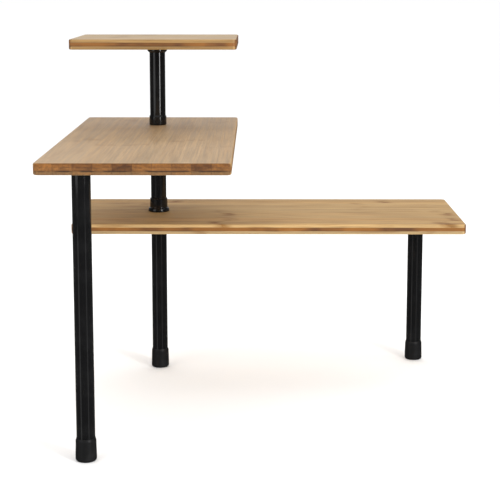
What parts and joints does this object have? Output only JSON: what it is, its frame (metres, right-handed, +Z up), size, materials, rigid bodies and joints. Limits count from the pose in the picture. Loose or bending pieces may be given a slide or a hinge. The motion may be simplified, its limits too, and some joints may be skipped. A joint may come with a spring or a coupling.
{
  "type": "desk hutch",
  "caption": "Corner desk hutch: bamboo shelves at stepped heights on one black steel tube post, with the middle and top shelves swivelling about it.",
  "frame": {"origin": "on the desk top under the corner post's axis, at the middle of the corner foot's sole", "axes": "+Z up, +X along the lower shelf away from the corner, -Y along the middle shelf towards the user"},
  "size_m": [0.5415, 0.54, 0.481],
  "materials": {
    "bamboo": "clear satin lacquer on horizontally laminated bamboo, edges softened",
    "black_steel": "black gloss powder coat",
    "black_rubber_plastic": "matte moulded push-on caps",
    "black_nylon": "plain moulded nylon",
    "zinc_steel": "bright zinc plate"
  },
  "bodies": {
    "stand": {"lower_shelf": "bamboo", "lower_post": "black_steel", "middle_post": "black_steel", "upper_post": "black_steel", "right_leg": "black_steel", "corner_foot": "black_rubber_plastic", "right_foot": "black_rubber_plastic", "lower_collar": "black_steel", "upper_sleeve": "black_steel", "top_flange": "black_steel", "lower_post_plug": "zinc_steel", "middle_post_base_plug": "zinc_steel", "middle_post_top_plug": "zinc_steel", "upper_post_base_plug": "zinc_steel", "upper_post_top_plug": "zinc_steel", "right_leg_plug": "zinc_steel", "lower_stud": "zinc_steel", "middle_stud": "zinc_steel", "top_stud": "zinc_steel", "right_leg_stud": "zinc_steel", "right_leg_insert": "zinc_steel", "middle_bush": "black_nylon", "middle_lower_washer": "black_nylon", "middle_upper_washer": "black_nylon", "top_washer": "black_nylon"},
    "middle_tier": {"middle_shelf": "bamboo", "front_leg": "black_steel", "front_foot": "black_rubber_plastic", "front_leg_plug": "zinc_steel", "front_leg_stud": "zinc_steel", "front_leg_insert": "zinc_steel"},
    "top_tier": {"top_shelf": "bamboo", "top_insert": "zinc_steel"}
  },
  "joints": [
    {"name": "middle_shelf_swivel", "type": "hinge", "parent": "stand", "child": "middle_tier", "pos_m": [0, 0, 0.349], "axis": [0, 0, 1], "range_deg": [-243, 80]},
    {"name": "top_shelf_swivel", "type": "hinge", "parent": "stand", "child": "top_tier", "pos_m": [0, 0, 0.474], "axis": [0, 0, 1], "continuous": true}
  ]
}
